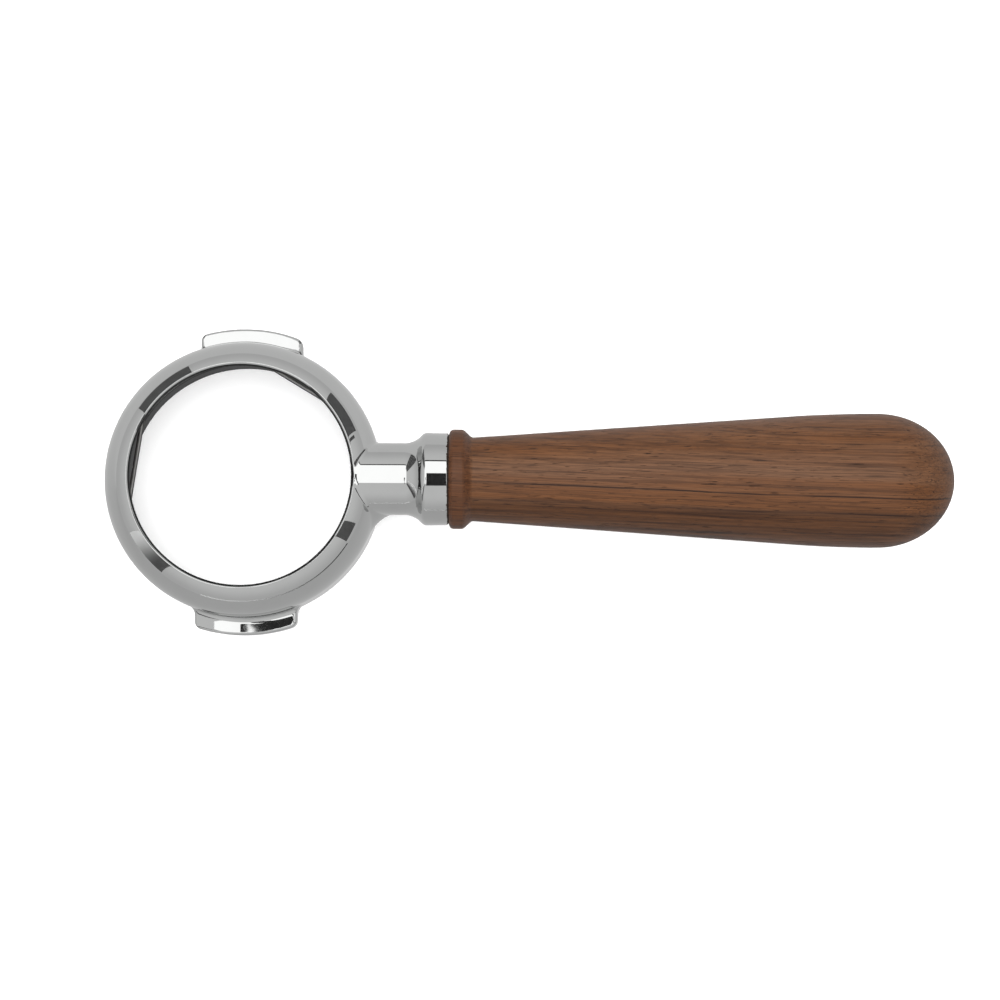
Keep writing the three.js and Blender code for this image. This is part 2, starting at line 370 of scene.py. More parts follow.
@dataclass(frozen=True)
class Walnut(Finish):
    """Oiled walnut turned along the grain.

    The growth layers are planes along the handle axis. A point's layer is its distance across
    those planes, bent a little along the handle, and every streak is a function of the layer.
    """

    axis: "HandleAxis | None" = None
    dark: Triple = (0.014, 0.0055, 0.0030)
    pale: Triple = (0.118, 0.0535, 0.0245)
    warm: Triple = (0.100, 0.0365, 0.0108)
    deep: Triple = (0.057, 0.0208, 0.0062)
    bead: Triple = (0.074, 0.0268, 0.0098)
    lean: float = 0.15
    grain_slope: float = 0.0333
    slope_start: float = 57.0
    bead_fade: Pair = (58.2, 57.0)
    end_fade: Pair = (162.0, 181.0)
    line_fade: Pair = (57.0, 85.0)
    lines: tuple[Line, ...] = (
        Line(-0.05, 0.35, 1.2),
        Line(-4.4, 1.4, 0.45),
        Line(-4.5, 0.34, 0.6),
        Line(-2.4, 0.28, 0.35),
        Line(6.5, 0.25, 0.35),
        Line(11.2, 0.5, 0.35),
        Line(-8.6, 0.5, 0.35),
        Line(-15.0, 0.9, 0.5),
    )
    band_low: Pair = (-4.6, -3.6)
    band_high: Pair = (-0.05, -0.55)
    band_share: float = 0.8
    low_fade: Pair = (-3.6, -6.0)
    low_share: float = 0.85
    end_share: float = 0.6
    glint_share: float = 0.5
    fibre_fade: Pair = (0.36, 0.70)
    fibre_share: float = 0.5
    hollow_shade: float = 0.45
    bend_mm: float = 1.2
    ripple_mm: float = 0.35
    relief_mm: float = 0.05
    bend: Grain = Grain((0.012, 0.02, 0.02))
    ripple: Grain = Grain((0.05, 0.12, 0.12))
    broad: Grain = Grain((0.006, 0.24, 0.05), 3, 0.55, 0.34, 0.66)
    streak: Grain = Grain((0.014, 1.3, 0.22), 4, 0.68, 0.46, 0.70)
    fibre: Grain = Grain((0.045, 3.6, 1.1), 3, 0.7)
    pore: Grain = Grain((0.2, 3.0, 3.0), 1.5, 0.45, 0.64, 0.72)
    long_pore: Grain = Grain((0.06, 2.0, 2.0), 2, 0.5, 0.62, 0.73)
    mottle: Grain = Grain((0.5, 0.35, 0.35), 3, 0.6)
    glint: Grain = Grain((0.02, 1.7, 0.4), 3, 0.6, 0.52, 0.74)
    broken: Grain = Grain((0.035, 1.0, 1.0), 2, 0.5, 0.3, 0.62)

    def layers(self, graph: Graph, place: Wire) -> tuple[Wire, Wire]:
        """Coordinates along the handle, plain and with the growth layer in place of the side.

        Args:
            graph: The material's graph.
            place: Object coordinates in millimetres.

        Returns:
            (station, side, up) and (station, layer, up).
        """
        settings = {"vector_type": "TEXTURE"}
        turn = (0.0, -self.axis.climb, 0.0)
        inputs = {"Vector": place, "Location": self.axis.point(0.0), "Rotation": turn}
        along = graph.node("ShaderNodeMapping", settings, inputs)
        x, y, z = graph.parts(along)
        bend = self.bend.value(graph, along) - 0.5
        ripple = self.ripple.value(graph, along) - 0.5
        drift = (x - self.slope_start) * self.grain_slope
        layer = y + z * self.lean + drift + bend * self.bend_mm + ripple * self.ripple_mm
        return along, graph.vector(x, layer, z)

    def ground(self, graph: Graph, along: Wire, flow: Wire) -> Wire:
        """Colour of the wood before its dark marks.

        Args:
            graph: The material's graph.
            along: Plain coordinates along the handle.
            flow: The same with the growth layer.

        Returns:
            The colour.
        """
        x, layer, _ = graph.parts(flow)
        colour = graph.mix(self.broad.mask(graph, flow), self.warm, self.pale)
        band = layer.ramp(*self.band_low) * layer.ramp(*self.band_high)
        colour = graph.mix(band * self.band_share, colour, self.warm)
        colour = graph.mix(self.low_side(layer) * self.low_share, colour, self.deep)
        colour = graph.mix(x.ramp(*self.end_fade) * self.end_share, colour, self.deep)
        turned_bead = x.ramp(*self.bead_fade) * (0.55 + self.mottle.value(graph, along) * 0.6)
        colour = graph.mix(turned_bead, colour, self.bead)
        return graph.mix(self.glint.mask(graph, flow) * self.glint_share, colour, self.pale)

    def low_side(self, layer: Wire) -> Wire:
        """Share of the darker heartwood at a layer."""
        return layer.ramp(*self.low_fade)

    def drawn_lines(self, graph: Graph, flow: Wire) -> Wire:
        """Strength of the dark lines, broken up and fading towards the bead.

        Args:
            graph: The material's graph.
            flow: Coordinates with the growth layer.

        Returns:
            A value that is 0 between the lines.
        """
        x, layer, _ = graph.parts(flow)
        total: Wire | float = 0.0
        for line in self.lines:
            total = layer.bell(line.layer, line.width) * line.strength + total
        total = total * (0.45 + x.ramp(*self.line_fade) * 0.55)
        return total * (0.42 + self.broken.mask(graph, flow) * 0.58)

    def paint(self, graph: Graph, place: Wire) -> dict[str | int, object]:
        """Layers, long streaks, fibres and open pores, with a duller finish in the pores.

        Args:
            graph: The material's graph.
            place: Object coordinates in millimetres.

        Returns:
            Shader inputs by name.
        """
        along, flow = self.layers(graph, place)
        layer = graph.parts(flow)[1]
        fibre = self.fibre.value(graph, flow)
        pore = self.pore.mask(graph, along)
        long_pore = self.long_pore.mask(graph, along)
        streak = self.streak.mask(graph, flow) * (0.54 + self.low_side(layer) * 0.3)
        colour = graph.mix(streak, self.ground(graph, along, flow), self.dark)
        colour = graph.mix(self.drawn_lines(graph, flow), colour, self.dark)
        colour = graph.mix(fibre.ramp(*self.fibre_fade) * self.fibre_share, colour, self.dark)
        hollow = tuple(self.hollow_shade * c for c in self.dark)
        colour = graph.mix(pore * 0.7 + long_pore * 0.6, colour, hollow)
        rough = self.roughness + fibre * 0.12 + pore * 0.2
        relief = 1 - pore * 0.8 - long_pore * 0.5 - fibre * 0.22
        normal = graph.bump(relief, self.relief_mm, 0.7)
        return {"Base Color": colour, "Roughness": rough, "Normal": normal}


@dataclass(frozen=True)
class DrawnSteel(Finish):
    """Drawn or turned metal with fine marks that run round it."""

    grain: Grain = Grain((1.0, 1.0, 6.0), 3, 0.65, scale=2.0)
    film: Grain = Grain(octaves=3, low=0.4, high=0.75, scale=0.25)
    film_share: float = 0.35
    film_shade: float = 0.6
    film_rough: float = 0.08
    mark_rough: float = 0.12
    relief_mm: float = 0.006

    def paint(self, graph: Graph, place: Wire) -> dict[str | int, object]:
        """Fine marks in roughness and height, and a darker film in patches.

        Args:
            graph: The material's graph.
            place: Object coordinates in millimetres.

        Returns:
            Shader inputs by name.
        """
        fine = self.grain.value(graph, place)
        film = self.film.mask(graph, place)
        filmed = tuple(self.film_shade * c for c in self.colour)
        tint = graph.mix(film * self.film_share, self.colour, filmed)
        rough = self.roughness + fine * self.mark_rough + film * self.film_rough
        return {"Base Color": tint, "Roughness": rough, "Normal": graph.bump(fine, self.relief_mm)}


@dataclass(frozen=True)
class Fibre(Finish):
    """Pressed fibre board with short strands in it."""

    strands: Grain = Grain((1.0, 2.5, 2.5), 4, 0.7, scale=1.8)
    strand_fade: Pair = (0.35, 0.7)
    strand_shade: float = 2.2
    relief_mm: float = 0.03

    def paint(self, graph: Graph, place: Wire) -> dict[str | int, object]:
        """Mottled colour and a felted surface.

        Args:
            graph: The material's graph.
            place: Object coordinates in millimetres.

        Returns:
            Shader inputs by name.
        """
        strand = self.strands.value(graph, place)
        paler = tuple(self.strand_shade * c for c in self.colour)
        tint = graph.mix(strand.ramp(*self.strand_fade), self.colour, paler)
        return {"Base Color": tint, "Normal": graph.bump(strand, self.relief_mm)}


@dataclass(frozen=True)
class Paper(Finish):
    """Plain pale studio floor, lit a little from behind so that shadows stay pale."""

    glow: float = 0.2
    cloud: Grain = Grain(scale=0.004)

    def paint(self, graph: Graph, place: Wire) -> dict[str | int, object]:
        """A trace of unevenness and an even glow.

        Args:
            graph: The material's graph.
            place: Object coordinates in millimetres.

        Returns:
            Shader inputs by name.
        """
        rough = self.roughness - self.cloud.value(graph, place) * 0.05
        glow = (self.glow, self.glow, self.glow, 1.0)
        return {"Roughness": rough, "Emission Color": glow, "Emission Strength": 1.0}


# --------------------------------------------------------------------------------------- meshes


def make_piece(
    name: str, points: Array, faces: Sequence, normals: Array | None = None
) -> bpy.types.Object:
    """Put a mesh into the scene.

    Args:
        name: The piece's name.
        points: Corner places in millimetres, one row each.
        faces: Corner numbers of each face.
        normals: Exact surface normals at the corners, if they are known.

    Returns:
        The new object, at the origin.
    """
    mesh = bpy.data.meshes.new(name)
    mesh.from_pydata((points * MM).tolist(), [], faces)
    mesh.polygons.foreach_set("use_smooth", np.ones(len(mesh.polygons), dtype=bool))
    if normals is not None:
        mesh.normals_split_custom_set_from_vertices(normals.tolist())
    mesh.update()
    made = bpy.data.objects.new(name, mesh)
    bpy.context.scene.collection.objects.link(made)
    log.info("%s: %d corners, %d faces", name, len(points), len(faces))
    return made


def dress(piece: bpy.types.Object, finish: Finish, body: str, node: str, slot: str) -> bpy.types.Object:
    """Give a piece its finish and tie it to the frame.

    Args:
        piece: The piece.
        finish: Its finish.
        body: The body that it rides on.
        node: The plain node that it replaces.
        slot: Its slot; not used.

    Returns:
        The piece.
    """
    piece.data.materials.append(finish.build())
    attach(piece, body)
    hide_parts(node)
    return piece


def grid_faces(rows: int, columns: int, close_rows: bool) -> Array:
    """Quads of a grid whose columns always close on themselves.

    Args:
        rows: Number of rows.
        columns: Number of points in a row.
        close_rows: Whether the last row joins the first.

    Returns:
        One row of four corner numbers for each quad.
    """
    row = np.arange(rows if close_rows else rows - 1)[:, None]
    column = np.arange(columns)[None, :]
    after_row = (row + 1) % rows
    after_column = (column + 1) % columns
    corners = (
        row * columns + column,
        row * columns + after_column,
        after_row * columns + after_column,
        after_row * columns + column,
    )
    return np.stack([np.broadcast_to(c, (row.size, columns)) for c in corners], -1).reshape(-1, 4)


def facing_out(points: Array, faces: list[list[int]]) -> list[list[int]]:
    """Turn all faces round if the closed surface they make has a negative volume.

    The volume is the sum over each face's triangles of a third of its base times its height,
    which is a sixth of the triple product of its corners.

    Args:
        points: Corner places.
        faces: Corner numbers of each face.

    Returns:
        The faces, all facing outwards.
    """
    volume = 0.0
    for size in {len(face) for face in faces}:
        corners = points[np.array([face for face in faces if len(face) == size])]
        for i in range(1, size - 1):
            normal = np.cross(corners[:, i], corners[:, i + 1])
            volume += float(np.sum(corners[:, 0] * normal))
    return faces if volume > 0 else [list(reversed(face)) for face in faces]


def closed_grid(points: Array, closed: bool) -> tuple[Array, list[list[int]]]:
    """Turn a grid of points into a closed surface.

    Args:
        points: Array of rows by columns by three. Columns close on themselves.
        closed: Whether rows close too. If not, the first and last rows are shut with a fan.

    Returns:
        The corner places and the faces, which face outwards.
    """
    rows, columns = points.shape[:2]
    flat = points.reshape(-1, 3)
    faces = grid_faces(rows, columns, closed).tolist()
    if not closed:
        ends = np.stack([points[0].mean(0), points[-1].mean(0)])
        flat = np.concatenate([flat, ends])
        first, last = len(flat) - 2, len(flat) - 1
        base = (rows - 1) * columns
        for i in range(columns):
            after = (i + 1) % columns
            faces.append([first, after, i])
            faces.append([last, base + i, base + after])
    return flat, facing_out(flat, faces)


def arc(centre: Sequence[float], size: Sequence[float], start: float, end: float, steps: int) -> Array:
    """Points on part of an ellipse: centre plus size times the cosine and sine of the angle.

    Args:
        centre: Station and radius of the middle.
        size: Half-lengths along the station and the radius.
        start: First angle in degrees.
        end: Last angle in degrees.
        steps: Number of stretches.

    Returns:
        One row of station and radius for each point.
    """
    angle = np.radians(np.linspace(start, end, steps + 1))
    return np.stack([centre[0] + size[0] * np.cos(angle), centre[1] + size[1] * np.sin(angle)], -1)


@dataclass(frozen=True)
class HandleAxis:
    """The line that the neck, the collar and the handle are turned about."""

    seat: Triple
    climb: float
    seat_station: float = 51.6

    @classmethod
    def from_frame(cls) -> "HandleAxis":
        """Read the axis from the joint that the handle unscrews about.

        Returns:
            The axis, in millimetres.
        """
        joints = frame["record"]["behaviour"]["joints"]
        joint = next(j for j in joints if j["name"] == "handle_unscrew")
        x, _, z = joint["axis"]
        return cls(tuple(c / MM for c in joint["pos_m"]), math.atan2(z, x))

    def point(self, station: float) -> Triple:
        """Place of a station on the axis.

        Args:
            station: Distance along the axis in millimetres.

        Returns:
            The place in the frame's axes.
        """
        away = station - self.seat_station
        x, y, z = self.seat
        return (x + away * math.cos(self.climb), y, z + away * math.sin(self.climb))

    def place(self, local: Array) -> Array:
        """Turn points of (station, side, up) into the frame's own axes."""
        turn = np.array(Matrix.Rotation(-self.climb, 3, "Y"))
        return local @ turn.T + np.array(self.point(0.0))

    def local(self, points: Array) -> Array:
        """Turn points in the frame's axes into (station, side, up)."""
        turn = np.array(Matrix.Rotation(-self.climb, 3, "Y"))
        return (points - np.array(self.point(0.0))) @ turn

    def revolve(self, profile: Array, segments: int, closed: bool = False) -> tuple[Array, list]:
        """Carry a profile round the axis.

        A point at station s and radius r goes to (s, r cos a, r sin a) for every angle a.

        Args:
            profile: Rows of station and radius.
            segments: Number of places round the axis.
            closed: Whether the profile closes on itself.

        Returns:
            Corner places and faces.
        """
        angle = np.arange(segments) * TURN / segments
        station = np.broadcast_to(profile[:, :1], (len(profile), segments))
        side = profile[:, 1:] * np.cos(angle)
        up = profile[:, 1:] * np.sin(angle)
        return closed_grid(self.place(np.stack([station, side, up], -1)), closed)


# --------------------------------------------------------------------------- body as a distance


def blend_union(first: Array, second: Array, radius: Array | float) -> Array:
    """Distance to two solids joined with a round fillet of the given radius."""
    corner = np.hypot(np.maximum(radius - first, 0), np.maximum(radius - second, 0))
    return np.maximum(radius, np.minimum(first, second)) - corner


def smooth(values: Array, start: float, end: float) -> Array:
    """Step from 0 at start to 1 at end: 3t squared less 2t cubed, with t clipped to 0 and 1."""
    share = np.clip((values - start) / (end - start), 0, 1)
    return share * share * (3 - 2 * share)


def blend_common(first: Array, second: Array, radius: Array | float) -> Array:
    """Distance to what two solids share, with its edge rounded to the given radius."""
    return -blend_union(-first, -second, radius)


@dataclass
class BodyForm:
    """Signed distance, in millimetres, to the forged body: negative in the metal.

    Every method takes whole arrays. Solids of revolution are functions of radius and height.
    """

    axis: HandleAxis
    ring_radius: float = 35.0
    ring_height: float = 24.5
    bowl_start: float = 13.0
    bowl_depth: float = 10.5
    lip_outer: float = 28.1
    lip_inner: float = 27.4
    lip_bevel: float = 0.7
    lip_round: float = 0.1
    bore_radius: float = 30.3
    bore_lead_in: float = 0.6
    shoulder_start: float = 17.5
    shoulder_top: float = 22.9
    groove_radius: float = 31.75
    groove_height: float = 8.1
    groove_width: float = 1.6
    lug_radius: float = 39.59
    lug_half_width: float = 13.05
    lug_shifts: Pair = (1.15, 0.55)
    lug_bottom: float = 2.5
    lug_top: float = 8.6
    lug_ramp: float = math.radians(1.0)
    lug_lead_in: float = math.radians(13.0)
    lug_lead_in_length: float = 5.0
    lug_fillet: float = 1.6
    lug_wall_round: float = 1.3
    lug_ramp_round: float = 1.5
    lug_top_round: float = 0.75
    lug_foot_round: float = 0.6
    neck_radius: float = 9.15
    neck_start: float = 20.0
    flare_foot: float = 43.2
    flare_fillet: float = 1.5
    collar_radius: float = 11.8
    collar_taper: float = 0.02
    collar_start: float = 45.8
    collar_end: float = 51.92
    collar_round: float = 0.45
    root_fillet_top: float = 0.5
    root_fillet_tight: float = 0.7
    root_fillet_wide: float = 4.6
    root_fillet_side: Pair = (0.1, 1.15)
    root_fillet_rise: Pair = (20.5, 12.5)
    mouth_round: float = 0.4
    bore_round: float = 0.3
    groove_round: float = 0.12
    lip_edge_round: float = 0.45
    edge_round: float = 0.2
    stud_hole_radius: float = 5.2
    stud_hole_end: float = 37.3
    stud_hole_sink: float = 0.7
    drill_slope: Pair = (0.87, 0.35)
    drill_tip: float = 0.9

    def quarter(self, radius: Array, height: Array, centre: Pair, size: Pair) -> Array:
        """Distance to a shape whose outer corner is a quarter ellipse.

        Below and inside the ellipse's centre the faces are flat. In the quarter itself it is the
        ellipse's equation, divided by its slope.

        Args:
            radius: Distances from the ring's centre line.
            height: Heights above the mouth rim.
            centre: Radius and height of the ellipse's middle.
            size: Its half-lengths.

        Returns:
            One distance for each place.
        """
        x = np.maximum(radius - centre[0], 0) / size[0]
        z = np.maximum(height - centre[1], 0) / size[1]
        reach = np.hypot(x, z)
        slope = np.hypot(x / size[0], z / size[1])
        curved = (reach - 1) * reach / np.maximum(slope, 1e-6)
        flat = np.maximum(radius - centre[0] - size[0], height - centre[1] - size[1])
        return np.where((x > 0) & (z > 0), curved, flat)

    def ring(self, radius: Array, height: Array) -> Array:
        """Outer form of the ring: straight wall, bowl, flat lip and mouth rim.

        Args:
            radius: Distances from the ring's centre line.
            height: Heights above the mouth rim.

        Returns:
            One distance for each place.
        """
        centre = self.ring_radius - self.bowl_depth
        across = (self.lip_outer - centre) / self.bowl_depth
        rise = (self.ring_height - self.bowl_start) / math.sqrt(1 - across**2)
        bowl = self.quarter(radius, height, (centre, self.bowl_start), (self.bowl_depth, rise))
        topped = blend_common(bowl, height - self.ring_height, self.lip_round)
        return blend_common(topped, -height, self.mouth_round)

    def bore(self, radius: Array, height: Array) -> Array:
        """Space inside the ring: bore, spring groove, shoulder, lip and lead-ins.

        Args:
            radius: Distances from the ring's centre line.
            height: Heights above the mouth rim.

        Returns:
            One distance for each place.
        """
        width = self.bore_radius - self.lip_inner
        rise = self.shoulder_top - self.shoulder_start
        centre = (self.lip_inner, self.shoulder_start)
        chamber = self.quarter(radius, height, centre, (width, rise))
        space = blend_union(chamber, radius - self.lip_inner, self.bore_round)
        groove = np.abs(height - self.groove_height) - self.groove_width / 2
        groove = blend_common(groove, radius - self.groove_radius, self.edge_round)
        space = blend_union(space, groove, self.groove_round)
        mouth = (radius + height - self.bore_radius - self.bore_lead_in) / math.sqrt(2)
        space = blend_union(space, mouth, self.bore_round)
        lip_start = self.ring_height - self.lip_bevel
        lip = (radius - height - self.lip_inner + lip_start) / math.sqrt(2)
        return blend_union(space, lip, self.lip_edge_round)

    def neck(self, station: Array, reach: Array) -> Array:
        """Neck, flare and collar: round about the handle axis.

        Args:
            station: Distances along the handle axis.
            reach: Distances from it.

        Returns:
            One distance for each place.
        """
        stem = reach - self.neck_radius
        cone = (reach - self.neck_radius - station + self.flare_foot) / math.sqrt(2)
        band = reach - self.collar_radius + (station - self.collar_start) * self.collar_taper
        collar = blend_common(cone, band, self.collar_round)
        form = blend_union(stem, collar, self.flare_fillet)
        form = blend_common(form, station - self.collar_end, self.edge_round)
        return np.maximum(form, self.neck_start - station)

    def stud_hole(self, station: Array, reach: Array) -> Array:
        """Hole for the stud, with the drill's cone and a countersunk mouth.

        Args:
            station: Distances along the handle axis.
            reach: Distances from it.

        Returns:
            One distance for each place.
        """
        hole = reach - self.stud_hole_radius
        along, across = self.drill_slope
        cone = (self.stud_hole_end - station) * along + reach * across - self.drill_tip
        hole = blend_common(hole, cone, self.edge_round)
        sink = reach - self.stud_hole_radius - station + self.collar_end - self.stud_hole_sink
        return blend_union(hole, sink / math.sqrt(2), self.edge_round)

    def lug(self, x: Array, y: Array, z: Array, side: int) -> Array:
        """One locking lug: a block with a round outer wall, a shallow ramp and a lead-in.

        Args:
            x, y, z: Places in the frame's axes.
            side: +1 or -1, for the lug at +Y or -Y.

        Returns:
            Distance to the lug.
        """
        shift = self.lug_shifts[0 if side > 0 else 1]
        flank = np.abs(x - shift) - self.lug_half_width
        plan = blend_common(flank, np.hypot(x, y) - self.lug_radius, self.lug_wall_round)
        away = side * (x - shift)
        ramp = away * math.sin(self.lug_ramp) + (z - self.lug_top) * math.cos(self.lug_ramp)
        thin = self.lug_half_width - self.lug_lead_in_length
        edge = self.lug_top - thin * math.tan(self.lug_ramp)
        entry = (away - thin) * math.sin(self.lug_lead_in) + (z - edge) * math.cos(self.lug_lead_in)
        top = blend_common(ramp, entry, self.lug_ramp_round)
        form = blend_common(plan, top, self.lug_top_round)
        form = blend_common(form, self.lug_bottom - z, self.lug_foot_round)
        return np.maximum(form, self.bore_radius - side * y)

    def distance(self, points: Array) -> Array:
        """Distance to the whole body.

        The fillet between neck and ring is tight on top and on the +Y side. It is wide low down on
        the -Y side.

        Args:
            points: Rows of places in millimetres.

        Returns:
            One distance for each row.
        """
        x, y, z = np.moveaxis(points, -1, 0)
        radius = np.hypot(x, y)
        station, side, up = np.moveaxis(self.axis.local(points), -1, 0)
        reach = np.hypot(side, up)
        share = smooth(np.abs(y) / self.neck_radius, *self.root_fillet_side)
        share = share * smooth(z, *self.root_fillet_rise)
        growth = np.where(y < 0, self.root_fillet_wide, self.root_fillet_tight)
        fillet = self.root_fillet_top + share * growth
        form = blend_union(self.ring(radius, z), self.neck(station, reach), fillet)
        for lug_side in (1, -1):
            form = blend_union(form, self.lug(x, y, z, lug_side), self.lug_fillet)
        form = blend_common(form, -self.bore(radius, z), self.lip_round)
        return blend_common(form, -self.stud_hole(station, reach), self.edge_round)


def slopes(form: Field, points: Array, step: float = 0.01) -> Array:
    """Slope of a distance along each axis, by central differences."""
    moved = np.eye(3) * step
    return np.stack([form(points + m) - form(points - m) for m in moved], -1) / (2 * step)


def settle(form: Field, points: Array, rounds: int, reach: float = 0.4) -> Array:
    """Move points onto the surface where a distance is 0, by Newton's method.

    Each round moves a point against the slope by the distance over the slope squared.

    Args:
        form: The distance.
        points: Rows of places near the surface.
        rounds: Number of rounds.
        reach: Longest move in a round, as a multiple of the slope.

    Returns:
        The moved points.
    """
    for _ in range(rounds):
        slope = slopes(form, points)
        steep = np.maximum(np.sum(slope * slope, -1), 0.05)
        away = np.clip(form(points) / steep, -reach, reach)
        points = points - slope * away[:, None]
    return points


@dataclass
class RoundNet:
    """A surface net over a grid of turns about +Z, radii and heights.

    A cell that the surface crosses gets one corner, and every grid edge that it crosses gets one
    quad, between the four cells round that edge. Turns close on themselves.
    """

    turns: Array
    radii: Array
    heights: Array

    def places(self) -> Array:
        """Places of all grid points."""
        turn, radius, height = np.meshgrid(self.turns, self.radii, self.heights, indexing="ij")
        return np.stack([radius * np.cos(turn), radius * np.sin(turn), height], -1)

    def wrap(self, form: Field) -> tuple[Array, Array]:
        """Find the surface.

        Args:
            form: The distance to wrap.

        Returns:
            Corner places and quads.
        """
        places = self.places()
        values = form(places)
        shape = tuple(n - c for n, c in zip(values.shape, (0, 1, 1)))
        count = np.zeros(int(np.prod(shape)))
        total = np.zeros((count.size, 3))
        quads = []
        for axis in range(3):
            nearer, after = self.pairs(values, axis)
            crossed = np.argwhere((nearer < 0) != (after < 0))
            spot = tuple(crossed.T)
            share = nearer[spot] / (nearer[spot] - after[spot])
            start, end = self.pairs(places, axis)
            points = start[spot] + (end[spot] - start[spot]) * share[:, None]
            cells = self.cells_round(crossed, axis, shape)
            for column in cells.T:
                np.add.at(count, column, 1)
                np.add.at(total, column, points)
            quads.append(cells)
        used = np.flatnonzero(count)
        number = np.full(count.size, -1)
        number[used] = np.arange(used.size)
        return total[used] / count[used, None], number[np.concatenate(quads)]

    def pairs(self, values: Array, axis: int) -> tuple[Array, Array]:
        """Values at both ends of every grid edge along an axis.

        Args:
            values: Values at the grid points.
            axis: 0 for turns, 1 for radii and 2 for heights.

        Returns:
            Values at the near ends and at the far ends.
        """
        if axis == 0:
            return values, np.roll(values, -1, 0)
        size = values.shape[axis]
        return np.take(values, range(size - 1), axis), np.take(values, range(1, size), axis)

    def cells_round(self, edges: Array, axis: int, shape: tuple[int, int, int]) -> Array:
        """Numbers of the four cells round each edge, in order.

        Args:
            edges: Rows of the three grid numbers of each edge's near end.
            axis: The axis that the edges run along.
            shape: Number of cells along each axis.

        Returns:
            One row of four cell numbers for each edge.
        """
        first, second = (a for a in range(3) if a != axis)
        columns = []
        for back, left in ((0, 0), (1, 0), (1, 1), (0, 1)):
            cell = edges.copy()
            cell[:, first] -= back
            cell[:, second] -= left
            cell[:, 0] %= shape[0]
            columns.append(np.ravel_multi_index(tuple(cell.T), shape))
        return np.stack(columns, -1)


def relax(points: Array, quads: Array, amount: float) -> Array:
    """Move each corner part of the way to the middle of its neighbours.

    Args:
        points: Corner places.
        quads: Four corner numbers for each quad.
        amount: 0 leaves the corners and 1 moves them all the way.

    Returns:
        The moved corners.
    """
    total = np.zeros_like(points)
    count = np.zeros(len(points))
    for i in range(4):
        here, there = quads[:, i], quads[:, (i + 1) % 4]
        for a, b in ((here, there), (there, here)):
            np.add.at(total, a, points[b])
            np.add.at(count, a, 1)
    return points + (total / count[:, None] - points) * amount


def lines(*stretches: Triple) -> Array:
    """Grid lines of stretches that follow each other.

    Args:
        stretches: Start, end and spacing of each stretch.

    Returns:
        The places of all lines.
    """
    parts = []
    for start, end, gap in stretches:
        parts.append(np.linspace(start, end, max(1, round((end - start) / gap)), endpoint=False))
    return np.concatenate([*parts, [stretches[-1][1]]])


@dataclass
class PortafilterBody:
    """The chromed forging: ring, lip, lugs, neck and collar in one piece."""

    axis: HandleAxis
    finish: Finish
    neck_turn: float = math.radians(24)
    fine_turn: float = math.radians(0.6)
    plain_turn: float = math.radians(0.95)
    radii: tuple[Triple, ...] = (
        (26.9, 28.9, 0.25),
        (28.9, 36.1, 0.45),
        (36.1, 54.5, 0.5),
    )
    heights: tuple[Triple, ...] = (
        (-0.9, 1.2, 0.26),
        (1.2, 7.0, 0.48),
        (7.0, 9.2, 0.24),
        (9.2, 22.4, 0.48),
        (22.4, 25.0, 0.22),
        (25.0, 29.5, 0.5),
    )

    def build(self) -> list[bpy.types.Object]:
        """Wrap the body's distance in a net and settle the net on it.

        Returns:
            The body's piece.
        """
        form = BodyForm(self.axis)
        near = self.neck_turn
        turns = lines((-near, near, self.fine_turn), (near, TURN - near, self.plain_turn))[:-1]
        net = RoundNet(turns, lines(*self.radii), lines(*self.heights))
        points, quads = net.wrap(form.distance)
        points = settle(form.distance, points, 3)
        for _ in range(2):
            points = settle(form.distance, relax(points, quads, 0.5), 2)
        points = settle(form.distance, points, 2)
        normals = slopes(form.distance, points)
        normals /= np.linalg.norm(normals, axis=-1, keepdims=True)
        corners = points[quads]
        facing = np.cross(corners[:, 2] - corners[:, 0], corners[:, 3] - corners[:, 1])
        inward = np.sum(facing * normals[quads].sum(1), -1) < 0
        quads[inward] = quads[inward][:, ::-1]
        points[:, 2] = np.maximum(points[:, 2], 0.0)
        piece = make_piece("body_forging", points, quads.tolist(), normals)
        return [dress(piece, self.finish, "body", "portafilter_body", "body_chrome")]


